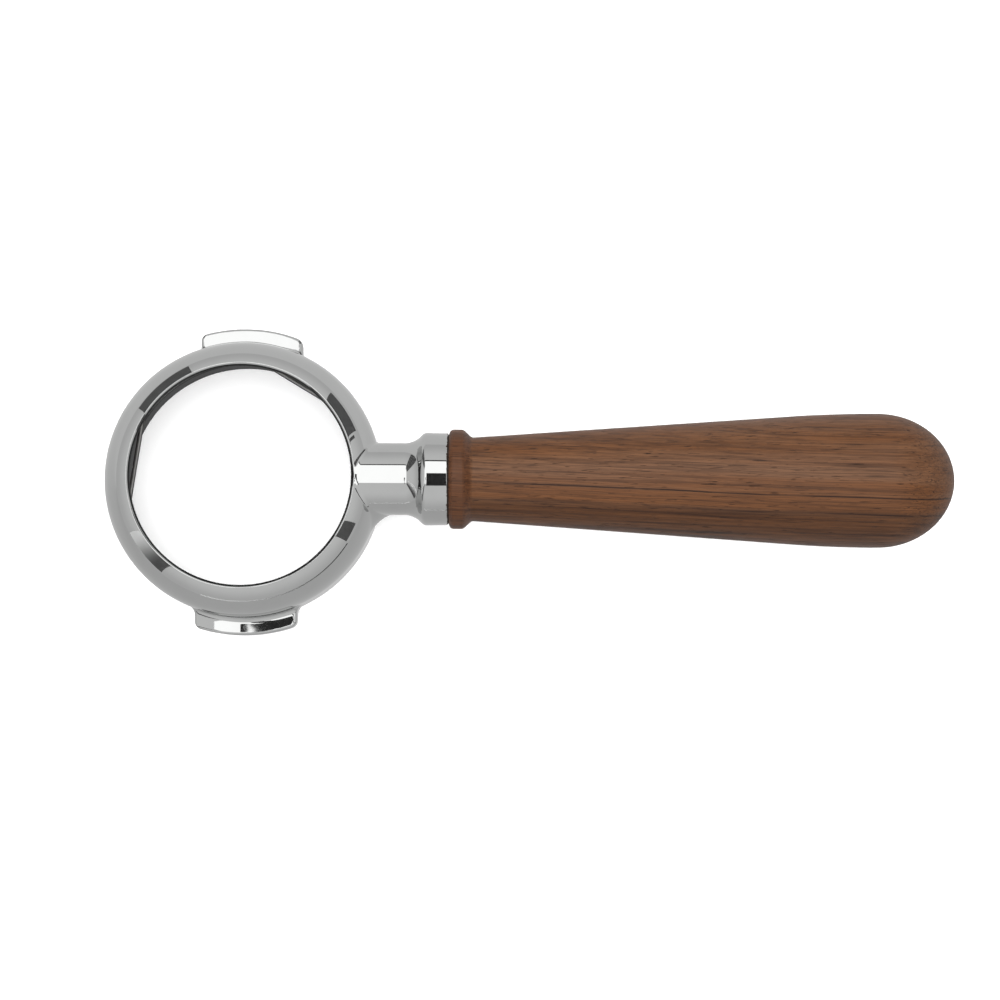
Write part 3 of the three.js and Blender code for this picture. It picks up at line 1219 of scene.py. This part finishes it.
@dataclass
class BasketSpring:
    """The wire spring that grips the basket: a circle with three straight stretches, cut open."""

    finish: Finish
    radius: float = 31.0
    wire: float = 0.6
    height: float = 8.1
    chord_middles: tuple[float, ...] = (172.0, 59.0, -65.0)
    chord_half: float = 23.0
    gap_middle: float = -8.0
    gap: float = 6.0
    bend: float = 1.5
    steps: int = 540
    sides: int = 20

    def centre_line(self) -> Array:
        """Places along the wire.

        In a straight stretch the radius is that of the chord: the circle's radius times the cosine
        of the half angle, over the cosine of the angle from the chord's middle. The corners are
        rounded by taking the mean of the radius over a small angle.

        Returns:
            Rows of places.
        """
        start = self.gap_middle + self.gap / 2
        angle = np.linspace(start, start + 360 - self.gap, self.steps)
        spread = np.linspace(-self.bend, self.bend, 13)
        sample = angle[:, None] + spread
        radius = np.full_like(sample, self.radius)
        for middle in self.chord_middles:
            away = (sample - middle + 180) % 360 - 180
            chord = math.cos(math.radians(self.chord_half)) / np.cos(np.radians(away))
            radius = np.where(np.abs(away) < self.chord_half, self.radius * chord, radius)
        mean = radius.mean(1)
        turn = np.radians(angle)
        level = np.full_like(mean, self.height)
        return np.stack([mean * np.cos(turn), mean * np.sin(turn), level], -1)

    def build(self) -> list[bpy.types.Object]:
        """Carry a circle along the wire, with round ends.

        Returns:
            The spring's piece.
        """
        path = self.centre_line()
        ahead = np.gradient(path, axis=0)
        ahead /= np.linalg.norm(ahead, axis=-1, keepdims=True)
        up = np.array([0.0, 0.0, 1.0])
        across = np.cross(ahead, up)
        distance = np.concatenate([[0], np.cumsum(np.linalg.norm(np.diff(path, axis=0), axis=-1))])
        from_end = np.minimum(distance, distance[-1] - distance)
        inner = np.clip(1 - from_end / self.wire, 0, 0.98)
        size = self.wire * np.sqrt(1 - inner**2)
        angle = np.arange(self.sides) * TURN / self.sides
        ring = across[:, None] * np.cos(angle)[:, None] + up * np.sin(angle)[:, None]
        points, faces = closed_grid(path[:, None] + ring * size[:, None, None], False)
        piece = make_piece("spring_wire", points, faces)
        return [dress(piece, self.finish, "spring", "basket_spring", "spring_steel")]


@dataclass
class WalnutHandle:
    """The turned wooden handle with its pocket for the insert."""

    axis: HandleAxis
    finish: Finish
    start: float = 52.16
    bead_radius: float = 12.65
    bead_edge: float = 1.25
    bead_end: float = 55.35
    neck_station: float = 58.3
    neck_radius: float = 10.66
    taper_end: float = 140.0
    taper_end_radius: float = 16.37
    radius: float = 17.08
    dome_start: float = 161.2
    tip: float = 180.48
    pocket_radius: float = 7.7
    pocket_end: float = 78.0
    pocket_round: float = 0.5
    mouth_round: float = 0.4
    segments: int = 192

    def profile(self) -> Array:
        """Outline from the pocket's floor, over the bead, along the taper and round the dome.

        The bead falls to the taper in a smooth step. The taper is a straight line. The swell that
        follows it is a parabola that meets the dome, which is a quarter ellipse.

        Returns:
            Rows of station and radius.
        """
        edge = (self.bead_edge, self.bead_edge)
        floor, wall = self.pocket_end, self.pocket_radius
        inner = (floor - self.pocket_round, wall - self.pocket_round)
        corner = arc(inner, (self.pocket_round,) * 2, 0, 90, 4)
        side = [(s, wall) for s in np.linspace(floor - 2, self.start + 1, 12)]
        pocket = np.concatenate([[(floor, wall * 0.5)], corner, side])
        outer = (self.start + self.mouth_round, wall + self.mouth_round)
        mouth = arc(outer, (self.mouth_round,) * 2, 270, 180, 4)
        seat_end = self.bead_radius - self.bead_edge - 0.4
        seat = [(self.start, r) for r in np.linspace(8.6, seat_end, 5)]
        near = arc((self.start + self.bead_edge, self.bead_radius - self.bead_edge), edge, 180, 90, 10)
        crown = np.linspace(self.start + self.bead_edge, self.neck_station, 34)[1:]
        drop = smooth(crown, self.bead_end, self.neck_station)
        cove = np.stack([crown, self.bead_radius - (self.bead_radius - self.neck_radius) * drop], -1)
        share = np.linspace(0, 1, 90)[1:, None]
        foot = np.array([[self.neck_station + 0.3, self.neck_radius + 0.01]])
        taper = foot + (np.array([[self.taper_end, self.taper_end_radius]]) - foot) * share
        left = np.linspace(1, 0, 22)[1:-1]
        swell_station = self.dome_start - (self.dome_start - self.taper_end) * left
        swell_radius = self.radius - (self.radius - self.taper_end_radius) * left**2
        swell = np.stack([swell_station, swell_radius], -1)
        dome = arc((self.dome_start, 0), (self.tip - self.dome_start, self.radius), 90, 0.4, 44)
        return np.concatenate([pocket, mouth, seat, near, cove, foot, taper, swell, dome])

    def build(self) -> list[bpy.types.Object]:
        """Turn the profile about the handle axis.

        Returns:
            The handle's piece.
        """
        points, faces = self.axis.revolve(self.profile(), self.segments)
        piece = make_piece("walnut_grip", points, faces)
        return [dress(piece, self.finish, "handle", "handle_grip", "walnut")]


class ThreadForm(Enum):
    """Depth and pitch of a thread in millimetres."""

    METRIC_FINE = (0.55, 1.5)
    WOOD = (0.7, 2.5)


def threaded(station: Array, angle: Array, crest: float, form: ThreadForm) -> Array:
    """Radius of a helical thread.

    The place in a turn is the station over the pitch, less the angle over a full turn. The depth
    follows a cosine of that place, sharpened so that crest and root are narrow flats.

    Args:
        station: Stations along the thread.
        angle: Angles round it.
        crest: Radius of its crest.
        form: Depth and pitch.

    Returns:
        One radius for each station and angle.
    """
    depth, pitch = form.value
    wave = np.cos(TURN * (station / pitch - angle / TURN))
    flank = np.clip(0.5 + 0.72 * wave, 0, 1)
    return crest - depth * (1 - flank)


@dataclass
class HandleHardware:
    """Stud, insert and washer that fasten the handle to the collar."""

    axis: HandleAxis
    stud_finish: Finish
    insert_finish: Finish
    washer_finish: Finish
    stud_radius: float = 4.9
    stud_start: float = 38.3
    stud_end: float = 76.5
    insert_radius: float = 7.4
    insert_hole: float = 5.2
    insert_start: float = 52.9
    insert_end: float = 75.0
    washer_radius: float = 11.4
    washer_hole: float = 5.6
    washer_start: float = 51.94
    washer_end: float = 52.14
    bevel: float = 0.9
    mouth_bevel: float = 0.5
    segments: int = 96

    def angles(self) -> Array:
        """One row of angles round the axis."""
        return (np.arange(self.segments) * TURN / self.segments)[None, :]

    def bolt(self, station: Array, crest: float, form: ThreadForm) -> Array:
        """Radius of a thread that a cone cuts back at each end.

        Args:
            station: Stations, one row each.
            crest: Radius of the thread's crest.
            form: Depth and pitch.

        Returns:
            One radius for each station and angle.
        """
        radius = threaded(station, self.angles(), crest, form)
        from_end = np.minimum(station - station[0], station[-1] - station)
        return np.minimum(radius, crest - self.bevel + from_end)

    def carried(self, station: Array, radius: Array, closed: bool) -> tuple[Array, list]:
        """Turn stations and radii into a closed surface about the handle axis.

        Args:
            station: Stations, one row each.
            radius: One radius for each station and angle.
            closed: Whether the rows close on themselves.

        Returns:
            Corner places and faces.
        """
        angle = self.angles()
        station = np.broadcast_to(station, radius.shape)
        local = np.stack([station, radius * np.cos(angle), radius * np.sin(angle)], -1)
        return closed_grid(self.axis.place(local), closed)

    def stud(self) -> tuple[Array, list]:
        """Threaded rod: the helical thread, cut back by a cone at each end.

        Returns:
            Corner places and faces.
        """
        station = np.linspace(self.stud_start, self.stud_end, 330)[:, None]
        radius = self.bolt(station, self.stud_radius, ThreadForm.METRIC_FINE)
        return self.carried(station, radius, False)

    def insert(self) -> tuple[Array, list]:
        """Bush with a coarse thread outside and a plain hole with beveled mouths.

        Returns:
            Corner places and faces.
        """
        along = np.linspace(self.insert_start, self.insert_end, 160)[:, None]
        outer = self.bolt(along, self.insert_radius, ThreadForm.WOOD)
        back = along[::-4]
        from_end = np.minimum(back - self.insert_start, self.insert_end - back)
        inner = self.insert_hole + np.clip(self.mouth_bevel - from_end, 0, None) + 0 * self.angles()
        radius = np.concatenate([outer, inner])
        return self.carried(np.concatenate([along, back]), radius, True)

    def washer(self) -> tuple[Array, list]:
        """Flat ring with rounded edges.

        Returns:
            Corner places and faces.
        """
        middle = (self.washer_start + self.washer_end) / 2
        half = (self.washer_end - self.washer_start) / 2
        outer = arc((middle, self.washer_radius - half), (half, half), 180, 0, 8)
        inner = arc((middle, self.washer_hole + half), (half, half), 0, -180, 8)
        return self.axis.revolve(np.concatenate([outer, inner]), self.segments, closed=True)

    def build(self) -> list[bpy.types.Object]:
        """Make the three pieces.

        Returns:
            Stud, insert and washer.
        """
        zinc, brass, fibre = self.stud_finish, self.insert_finish, self.washer_finish
        rows = (
            ("threaded_stud", self.stud, zinc, "handle", "handle_stud", "stud_zinc"),
            ("brass_insert", self.insert, brass, "handle", "handle_insert", "insert_brass"),
            ("fibre_washer", self.washer, fibre, "washer", "seat_washer", "washer_fibre"),
        )
        return [dress(make_piece(name, *shape()), *rest) for name, shape, *rest in rows]


# --------------------------------------------------------------------------------------- studio


@dataclass(frozen=True)
class Felt(Finish):
    """Matt dark cloth that fades into the tent's own tone towards one end."""

    fade_from: float = 0.0
    fade_to: float = 0.0
    fade_tone: float = 0.55

    def paint(self, graph: Graph, place: Wire) -> dict[str | int, object]:
        """Tone as a function of the azimuth in degrees.

        Args:
            graph: The material's graph.
            place: Object coordinates in millimetres.

        Returns:
            Shader inputs by name.
        """
        if self.fade_from == self.fade_to:
            return {}
        x, y, _ = graph.parts(place)
        azimuth = graph.maths("ARCTAN2", y, x) * math.degrees(1)
        share = azimuth.ramp(self.fade_from, self.fade_to)
        return {"Base Color": graph.mix(share, self.colour, (self.fade_tone,) * 3)}


@dataclass(frozen=True)
class GlowSheet(Finish):
    """Grey glow that stands in for the floor in reflections: a painted reflection, with painted shadow
    under the object and painted light towards +Y.
    """

    # Painted shadow: tone of the sheet under the ring.
    painted_shadow_tone: float = 0.16
    near_tone: float = 0.57
    # Painted light: tone of the sheet towards +Y.
    painted_light_tone: float = 0.73
    inner_radius: float = 30.0
    outer_radius: float = 34.0
    turn_over: float = 60.0

    def paint(self, graph: Graph, place: Wire) -> dict[str | int, object]:
        """Tone by the distance from the ring's centre line: painted shadow near it, and painted light
        that brightens it towards +Y.

        Args:
            graph: The material's graph.
            place: Object coordinates in millimetres.

        Returns:
            Shader inputs by name.
        """
        x, y, _ = graph.parts(place)
        share = ((x * x + y * y) ** 0.5).ramp(self.inner_radius, self.outer_radius)
        side = y.ramp(-self.turn_over, self.turn_over)
        # Painted light: the sheet brightens towards +Y.
        outer = graph.mix(side, (self.near_tone,) * 3, (self.painted_light_tone,) * 3)
        # Painted shadow: the sheet darkens under the ring.
        tone = graph.mix(share, (self.painted_shadow_tone,) * 3, outer)
        return {"Emission Color": tone, "Emission Strength": 1.0}


@dataclass(frozen=True)
class Flag:
    """A dark card that stands round the object and only shows in reflections.

    Angles are in degrees, seen from the origin: azimuth from +X towards +Y, height above the floor.
    """

    azimuth: Pair
    rise: Pair
    tone: float = 0.07
    fades: bool = False


@dataclass
class Studio:
    """Floor, lights, cards and camera."""

    floor_radius: float = 12000.0
    rings: int = 24
    spokes: int = 96
    tent_low: float = 0.62
    tent_high: float = 0.80
    tent_rise: Pair = (0.05, 0.7)
    flag_distance: float = 900.0
    flag_posts: int = 25
    box_height: float = 1000.0
    box_centre: Pair = (-25.0, 232.0)
    box_size: Pair = (680.0, 1115.0)
    box_radiance: float = 0.94
    fill_height: float = 1500.0
    fill_size: Pair = (3200.0, 3200.0)
    fill_radiance: float = 2.08
    sheet_height: float = 0.05
    camera_place: Triple = (40.48, -47.70, 474.83)
    camera_right: Triple = (0.998544, 0.002561, 0.053882)
    camera_up: Triple = (-0.007515, 0.995737, 0.091929)
    lens: float = 65.23
    sensor: float = 36.0
    clip: Pair = (0.01, 20.0)
    flags: tuple[Flag, ...] = (
        Flag((118, 145), (4, 60)),
        Flag((29, 51), (8, 60)),
        Flag((26, 27.7), (20, 50)),
        Flag((-159, -135.5), (4, 60), fades=True),
        Flag((-29.5, -19), (8, 56)),
        Flag((-114, -30), (0.4, 3.4), 0.04, fades=True),
    )

    lens_card_gap: float = 8.0
    lens_cards: tuple[tuple[str, tuple[Pair, ...]], ...] = (
        ("lens_card", ((12, -185), (72, -185), (72, 72), (12, 72))),
        ("side_card", ((-49, -190), (-28, -190), (-28, -12), (-55, -12), (-56, -25), (-46, -34))),
        ("stand_card", ((-60, -12), (-72, -14), (-70, -40), (-64, -62), (-54, -62), (-54, -36))),
    )
    rim_card_gap: float = 10.0
    rim_card: tuple[Pair, ...] = ((-380, 790), (380, 790), (380, 880), (-380, 880))

    def disc(self, name: str, radius: Array, level: float, filled: bool) -> bpy.types.Object:
        """Level disc that faces up: rings of points round the origin.

        Args:
            name: The disc's name.
            radius: The rings' radii.
            level: Its height.
            filled: Whether the innermost ring is filled.

        Returns:
            The disc.
        """
        angle = (np.arange(self.spokes) * TURN / self.spokes)[None, :]
        rows = radius[:, None]
        grid = np.stack([rows * np.cos(angle), rows * np.sin(angle), 0 * rows * angle + level], -1)
        faces = [face[::-1] for face in grid_faces(len(radius), self.spokes, False).tolist()]
        if filled:
            faces.append(list(range(self.spokes)))
        return make_piece(name, grid.reshape(-1, 3), faces)

    def floor(self) -> None:
        """Pale floor under the object."""
        radius = np.linspace(0.02, 1, self.rings) ** 2 * self.floor_radius
        piece = self.disc("studio_floor", radius, 0.0, True)
        finish = Paper("studio_paper", (0.88, 0.88, 0.88), 0.6, metallic=0.0, specular=0.2)
        piece.data.materials.append(finish.build())

    def hide_card(self, piece: bpy.types.Object, finish: Finish) -> None:
        """Leave a card visible to glossy rays alone.

        Args:
            piece: The card.
            finish: Its finish.
        """
        piece.data.materials.append(finish.build())
        piece.visible_camera = False
        piece.visible_diffuse = False
        piece.visible_shadow = False

    def flat_card(self, name: str, outline: Sequence[Pair], height: float) -> None:
        """Black level card.

        Args:
            name: The card's name.
            outline: Its corners.
            height: Its height in millimetres.
        """
        corners = np.array([[x, y, height] for x, y in outline])
        piece = make_piece(name, corners, [list(range(len(outline)))])
        felt = Finish(f"{name}_felt", (0.02, 0.02, 0.02), 1.0, metallic=0.0, specular=0.0)
        self.hide_card(piece, felt)

    def flag_card(self, name: str, flag: Flag) -> None:
        """Upright card bent round the object: rows of points over the azimuth.

        Args:
            name: The card's name.
            flag: Its azimuths, heights and tone.
        """
        turn = np.radians(np.linspace(*flag.azimuth, self.flag_posts))
        rows = []
        for rise in flag.rise:
            level = np.full_like(turn, math.tan(math.radians(rise)))
            rows.append(np.stack([np.cos(turn), np.sin(turn), level], -1) * self.flag_distance)
        low = np.arange(self.flag_posts - 1)
        high = low + self.flag_posts
        faces = np.stack([low, low + 1, high + 1, high], -1)
        piece = make_piece(name, np.concatenate(rows), faces.tolist())
        start, end = (flag.azimuth[1] - 5, flag.azimuth[0]) if flag.fades else (0.0, 0.0)
        fade = {"fade_from": start, "fade_to": end}
        felt = Felt(f"{name}_felt", (flag.tone,) * 3, 1.0, metallic=0.0, specular=0.0, **fade)
        self.hide_card(piece, felt)

    def sheet(self) -> None:
        """Grey sheet just above the floor, and wider, so that the chrome shows a grey floor: a painted
        reflection, with painted shadow under the object.
        """
        radius = np.linspace(0.0, 1, self.rings) ** 2 * (self.floor_radius + 1) + 1
        piece = self.disc("grey_sheet", radius, self.sheet_height, False)
        black = (0.0, 0.0, 0.0)
        self.hide_card(piece, GlowSheet("grey_sheet_glow", black, 1.0, metallic=0.0, specular=0.0))

    def cards(self) -> None:
        """Stand the flags up and hang the cards round the lens and beside the soft box."""
        for number, flag in enumerate(self.flags):
            self.flag_card(f"flag_{number}", flag)
        for name, outline in self.lens_cards:
            self.flat_card(name, outline, self.camera_place[2] + self.lens_card_gap)
        self.flat_card("soft_box_rim", self.rim_card, self.box_height - self.rim_card_gap)

    def lights(self) -> None:
        """A large soft box overhead, a fill light and an even grey tent all round."""
        world = bpy.data.worlds.new("tent")
        world.use_nodes = True
        graph = Graph(world.node_tree)
        up = graph.parts(graph.node("ShaderNodeTexCoord", {}, {}, "Generated"))[2]
        tone = graph.mix(up.ramp(*self.tent_rise), (self.tent_low,) * 3, (self.tent_high,) * 3)
        glow = graph.node("ShaderNodeBackground", {}, {"Color": tone, "Strength": 1.0})
        graph.node("ShaderNodeOutputWorld", {}, {"Surface": glow})
        bpy.context.scene.world = world
        place = (*self.box_centre, self.box_height)
        self.soft_box("soft_box", place, self.box_size, self.box_radiance)
        overhead = (0.0, 0.0, self.fill_height)
        fill = self.soft_box("fill_light", overhead, self.fill_size, self.fill_radiance)
        fill.visible_glossy = False

    def soft_box(
        self, name: str, place: Sequence[float], size: Pair, radiance: float
    ) -> bpy.types.Object:
        """One area light that looks straight down.

        Args:
            name: The light's name.
            place: Its middle.
            size: Its two sides.
            radiance: Brightness of its face.

        Returns:
            The light.
        """
        data = bpy.data.lights.new(name, "AREA")
        data.shape = "RECTANGLE"
        data.size, data.size_y = size[0] * MM, size[1] * MM
        data.energy = radiance * math.pi * data.size * data.size_y
        made = bpy.data.objects.new(name, data)
        made.location = [c * MM for c in place]
        made.visible_camera = False
        bpy.context.scene.collection.objects.link(made)
        return made

    def camera(self) -> None:
        """Camera above the outlet side, leaning a little towards -Y."""
        data = bpy.data.cameras.new("camera")
        data.lens, data.sensor_width = self.lens, self.sensor
        data.clip_start, data.clip_end = self.clip
        made = bpy.data.objects.new("camera", data)
        right, up = np.array(self.camera_right), np.array(self.camera_up)
        back = np.cross(right, up)
        turn = Matrix(np.stack([right, up, back], -1).tolist()).to_4x4()
        made.matrix_world = Matrix.Translation([c * MM for c in self.camera_place]) @ turn
        bpy.context.scene.collection.objects.link(made)
        bpy.context.scene.camera = made

    def build(self) -> None:
        """Set the stage."""
        bpy.context.scene.view_settings.view_transform = "Standard"
        self.floor()
        self.sheet()
        self.cards()
        self.lights()
        self.camera()


def main() -> None:
    """Build the studio and every sub-assembly."""
    logging.basicConfig(level=logging.INFO, format="%(name)s: %(message)s")
    axis = HandleAxis.from_frame()
    Studio().build()
    chrome = PolishedChrome("polished_chrome", (0.56, 0.565, 0.56), 0.02)
    # The wire's grey is the steel's own tone, darkened further as painted shade for the wire's place in
    # shadow under the lip.
    wire = DrawnSteel("drawn_spring_steel_and_painted_shade", (0.33, 0.325, 0.315), 0.24)
    walnut = Walnut("oiled_walnut", (0.1, 0.045, 0.02), 0.38, metallic=0.0, specular=0.2, axis=axis)
    turned = Grain((5.0, 1.0, 1.0), 3, 0.65, scale=2.0)
    zinc = DrawnSteel("zinc_plate", (0.55, 0.55, 0.53), 0.28, grain=turned)
    brass = DrawnSteel("machined_brass", (0.71, 0.50, 0.22), 0.25, grain=turned)
    felt = Fibre("vulcanised_fibre", (0.020, 0.014, 0.011), 0.75, metallic=0.0)
    assemblies = (
        PortafilterBody(axis, chrome),
        BasketSpring(wire),
        WalnutHandle(axis, walnut),
        HandleHardware(axis, zinc, brass, felt),
    )
    for assembly in assemblies:
        for piece in assembly.build():
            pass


if __name__ == "__main__":
    main()
